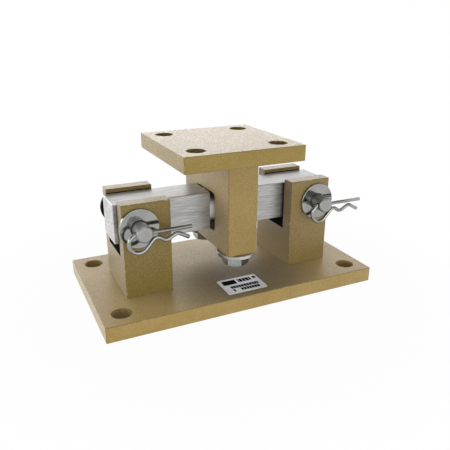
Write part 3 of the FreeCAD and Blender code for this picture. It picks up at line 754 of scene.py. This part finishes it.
def washer_outline(width, thick):
    """Points round a flat section with round corners, and a keeper point beside each corner."""
    points = []
    for side_x, side_y, start in ((1, 1, 0), (-1, 1, 90), (-1, -1, 180), (1, -1, 270)):
        corner_x = side_x * (width / 2 - CORNER)
        corner_y = side_y * (thick / 2 - CORNER)
        arc = [math.radians(start + 90 * step / CORNER_STEPS) for step in range(CORNER_STEPS + 1)]
        bend = [(corner_x + CORNER * math.cos(turn), corner_y + CORNER * math.sin(turn), 0.0)
                for turn in arc]
        before = Vector((math.sin(arc[0]), -math.cos(arc[0]), 0.0)) * KEEPER
        after = Vector((-math.sin(arc[-1]), math.cos(arc[-1]), 0.0)) * KEEPER
        points += [tuple(Vector(bend[0]) + before), *bend, tuple(Vector(bend[-1]) + after)]
    edges = [(place, (place + 1) % len(points)) for place in range(len(points))]
    return points, edges


print("points round a washer's section:", len(washer_outline(9 * MM, 2.5 * MM)[0]))

# %% Washers on the pins and under the yoke's bolts
WASHER_BORE = 13.3 * MM
LYING = (0.0, 0.0, 0.0)
UPRIGHT = (math.radians(90), 0.0, 0.0)


def washer_row(name, body, slot, coat, turn, *replaced):
    """Equal washers in the places of one or two nodes."""
    first, last = replaced[0], replaced[-1]
    low, high = (Vector(corner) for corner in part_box(first))
    spans = sorted(high - low)
    rim = spans[2] / 2
    thick = spans[0]
    points, edges = washer_outline(rim - WASHER_BORE / 2, thick)
    row = washers.make(
        name, points, edges, {}, Ring=(rim + WASHER_BORE / 2) / 2, First=middle(first),
        Step=middle(last) - middle(first), Count=len(replaced), Turn=turn, Coat=coat.material)
    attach(row, body)
    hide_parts(*replaced)


# the rear washers get the nearly black tones, a painted shade
for end in ("left", "right"):
    for spot, roughness, slot, tones in (
            ("front", 0.08, "bright_zinc", (ZINC, ZINC_PALE)),
            ("rear", 0.35, "black_zinc", (REAR_WASHER_SHADE, REAR_WASHER_SHADE_DUSTY))):
        washer = f"{end}_{spot}_pin_washer"
        coat = zinc_plate(washer, roughness, middle(washer), "Y", tones)
        washer_row(f"{end}_{spot}_stamped_washer", f"{end}_pin_set", slot, coat, UPRIGHT, washer)
yoke_coat = zinc_plate("yoke_washers", 0.34, middle("front_yoke_washer"), "Z", (ZINC_WHITE, STEEL_PALE))
washer_row("yoke_washers", "top", "bright_zinc", yoke_coat, LYING,
           "front_yoke_washer", "rear_yoke_washer")

# %% [markdown]
# A spring clip is one piece of wire. A straight leg goes through the pin, the wire loops round
# at the left, and the second leg hugs the pin, nips in under the first leg and ends in a wave
# that guides it on. That is a path, so its points are given with the radius of each bend, and a
# Geometry Nodes tree rounds the bends and sweeps a circle along it. The loop's own points are
# already on their circle and need no rounding. The wire's ends are cut square with the burr
# taken off, which a smaller section at the very tip shows.

# %% The clip recipe
BEND_STEPS = 8
WIRE_SIDES = 24

clips = Recipe("bent_wire", Wire="Float", Place="Vector")
path = clips.node("GeometryNodeMeshToCurve", {}, {"Mesh": clips.given("Start")})
bend_size = clips.node("GeometryNodeInputNamedAttribute", {"data_type": "FLOAT"}, {"Name": "bend"})
rounded = clips.node("GeometryNodeFilletCurve", {"mode": "POLY"}, {
    "Curve": path, "Count": BEND_STEPS, "Radius": bend_size})
girth = clips.node("GeometryNodeInputNamedAttribute", {"data_type": "FLOAT"}, {"Name": "girth"})
wire_round = clips.node("GeometryNodeCurvePrimitiveCircle", {}, {
    "Resolution": WIRE_SIDES, "Radius": clips.given("Wire") / 2})
wire = clips.node("GeometryNodeCurveToMesh", {}, {
    "Curve": rounded, "Profile Curve": wire_round, "Scale": girth, "Fill Caps": True})
clips.close(clips.node("GeometryNodeTransform", {}, {
    "Geometry": wire, "Translation": clips.given("Place")}))
print("clip recipe:", len(clips.tree.nodes), "nodes")

# %% The clip's path, in millimetres from the pin's axis
WIRE = 3.1
LOOP = 7.4
LOOP_START = 3.9
LEG = 37.5
NECK = 9.6
PINCH = 0.2
DIP = 7.7
HUMP = 8.7
WAVE = 9.2
RISE = 5.2
BEND = 4.4
BURR = 0.25
TIP_GIRTH = 0.82
LOOP_STEPS = 48

neck_drop = WIRE + PINCH
sight = Vector((NECK + LOOP_START, LOOP - neck_drop))
leave = math.degrees(math.atan2(sight.y, sight.x) - math.acos(LOOP / sight.length))
turns = [90 + step * (270 + leave) / LOOP_STEPS for step in range(LOOP_STEPS + 1)]
loop = [(-LOOP_START + LOOP * math.cos(math.radians(turn)), LOOP * math.sin(math.radians(turn)) - LOOP)
        for turn in turns]
corners = [(NECK, -neck_drop), (NECK + DIP, -neck_drop - RISE), (NECK + DIP + HUMP, -neck_drop)]
tip = Vector((NECK + DIP + HUMP + WAVE, -neck_drop - RISE))
tip_back = tip + (Vector(corners[-1]) - tip).normalized() * BURR
route = [(LEG, 0.0), (LEG - BURR, 0.0), *loop, *corners, tuple(tip_back), tuple(tip)]
bends = [BEND * MM if place in corners else 0.0 for place in route]
girths = [TIP_GIRTH, *[1.0 for _ in route[1:-1]], TIP_GIRTH]
print("points on the clip's path:", len(route))
print("the lower leg leaves the loop at", round(leave), "degrees")

# %% A clip through each pin
for end in ("left", "right"):
    clip_box = [Vector(corner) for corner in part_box(f"{end}_clip")]
    pin_middle = middle(f"{end}_pin")
    clip_y = (clip_box[0].y + clip_box[1].y) / 2
    clip_coat = zinc_plate(f"{end}_clip_wire", 0.12, (pin_middle.x, clip_y, pin_middle.z), "X")
    clip = clips.make(
        f"{end}_spring_clip",
        [(x * MM, 0.0, z * MM) for x, z in route],
        [(place, place + 1) for place in range(len(route) - 1)],
        {"bend": bends, "girth": girths},
        Wire=WIRE * MM, Place=Vector((pin_middle.x, clip_y, pin_middle.z)), Coat=clip_coat.material)
    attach(clip, f"{end}_pin_set")
    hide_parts(f"{end}_clip")

# %% [markdown]
# The studio is a white floor under a soft sky. The picture's background is pure white, so the
# floor shows white to the camera and in reflections, and stays an ordinary floor for light and
# shadow. Close to the module some of the real floor is mixed in, which keeps a faint shadow.

# %% The floor
FLOOR = 6.0
FLOOR_DROP = 0.2 * MM
SHADOW_SHARE = 0.05
SHADOW_REACH = (0.12, 0.30)
floor_mesh = bpy.data.meshes.new("studio_floor")
floor_corners = [(side_x * FLOOR, side_y * FLOOR, 0.0)
                 for side_x, side_y in ((-1, -1), (1, -1), (1, 1), (-1, 1))]
floor_mesh.from_pydata(floor_corners, [], [(0, 1, 2, 3)])
floor = bpy.data.objects.new("studio_floor", floor_mesh)
floor.location.z = -FLOOR_DROP
bpy.context.scene.collection.objects.link(floor)

white_floor = Finish("white_floor", Roughness=0.9)
white_floor.shader.inputs["Base Color"].default_value = (0.92, 0.92, 0.92, 1.0)
rays = [white_floor.node("ShaderNodeLightPath", output=f"Is {kind} Ray")
        for kind in ("Camera", "Glossy", "Transmission")]
away = white_floor.node("ShaderNodeVectorMath", {"operation": "LENGTH"},
                        {0: white_floor.spot()}, output=1)
far = white_floor.ramp(away, *SHADOW_REACH)
share = rays[0].most(rays[1]).most(rays[2]) * (1.0 - SHADOW_SHARE + SHADOW_SHARE * far)
glow = white_floor.node("ShaderNodeEmission", {}, {"Color": (1.0, 1.0, 1.0, 1.0), "Strength": 1.0})
plain_floor = Signal(white_floor, white_floor.shader.outputs[0])
shown = white_floor.node("ShaderNodeMixShader", {}, {0: share, 1: plain_floor, 2: glow})
white_floor.feed(white_floor.tree.nodes["Material Output"].inputs["Surface"], shown)
floor_mesh.materials.append(white_floor.material)
print("floor, metres across:", 2 * FLOOR)

# %% [markdown]
# The sky gives nearly all the light. Overhead it is even and soft. Near the horizon it glows, wide
# behind the module and to the left, and in a narrow band in front. The band in front lights the
# faces that look at the camera and nothing else, which keeps their gold deep, and the glow behind
# makes the upper faces pale, because they are seen at a low angle against it. A sum of powers of
# the direction draws those glows. One weak lamp in front lifts the shadows between the supports.

# %% The sky
SKY_TOP = 0.85
SKY_MIDDLE = 0.22
GLOW_FRONT = 3.6
GLOW_BACK = 3.2
GLOW_LEFT = 2.5
GLOW_RIGHT = 1.0
NARROW = 8
WIDE = 2
GLOW_FADE = (0.20, 0.55)
TOP_FADE = (0.60, 0.90)
sky = bpy.data.worlds.new("studio_sky")
sky.use_nodes = True
bpy.context.scene.world = sky
sky.node_tree.nodes.clear()
heaven = NodeSheet(sky.node_tree)
direction = heaven.node("ShaderNodeTexCoord", output="Generated")
across, depth, rise = [heaven.node("ShaderNodeSeparateXYZ", {}, {0: direction}, output=axis)
                       for axis in range(3)]

glow = 0.0
for toward, amount, focus in (
        (0.0 - depth, GLOW_FRONT, NARROW), (depth, GLOW_BACK, WIDE),
        (0.0 - across, GLOW_LEFT, WIDE), (across, GLOW_RIGHT, WIDE)):
    glow = toward.most(0.0) ** focus * amount + glow
near_horizon = 1.0 - heaven.ramp(abs(rise), *GLOW_FADE)
overhead = heaven.ramp(rise, *TOP_FADE)
strength = SKY_MIDDLE + (SKY_TOP - SKY_MIDDLE) * overhead + glow * near_horizon
soft = heaven.node("ShaderNodeBackground", {}, {"Color": (1.0, 1.0, 1.0, 1.0), "Strength": strength})
white = heaven.node("ShaderNodeBackground", {}, {"Color": (1.0, 1.0, 1.0, 1.0), "Strength": 1.0})
camera_ray = heaven.node("ShaderNodeLightPath", output="Is Camera Ray")
both = heaven.node("ShaderNodeMixShader", {}, {0: camera_ray, 1: soft, 2: white})
world_output = sky.node_tree.nodes.new("ShaderNodeOutputWorld")
heaven.feed(world_output.inputs["Surface"], both)
print("sky nodes:", len(sky.node_tree.nodes))

# %% The lamp
LAMP_SPOT = Vector((0.35, -1.4, 0.2))
LAMP_AIM = Vector((0.0, 0.0, 0.06))
LAMP_SIZE = 0.6
LAMP_POWER = 0.5

softbox_data = bpy.data.lights.new("front_softbox", "AREA")
softbox_data.shape = "SQUARE"
softbox_data.size = LAMP_SIZE
softbox_data.energy = LAMP_POWER
softbox = bpy.data.objects.new("front_softbox", softbox_data)
softbox.location = LAMP_SPOT
softbox.rotation_euler = (LAMP_AIM - LAMP_SPOT).to_track_quat("-Z", "Y").to_euler()
bpy.context.scene.collection.objects.link(softbox)
print(softbox.name, "power", LAMP_POWER, "W")

# %% [markdown]
# Last, the view transform is set to Standard.

# %% Set the view transform
bpy.context.scene.view_settings.view_transform = "Standard"
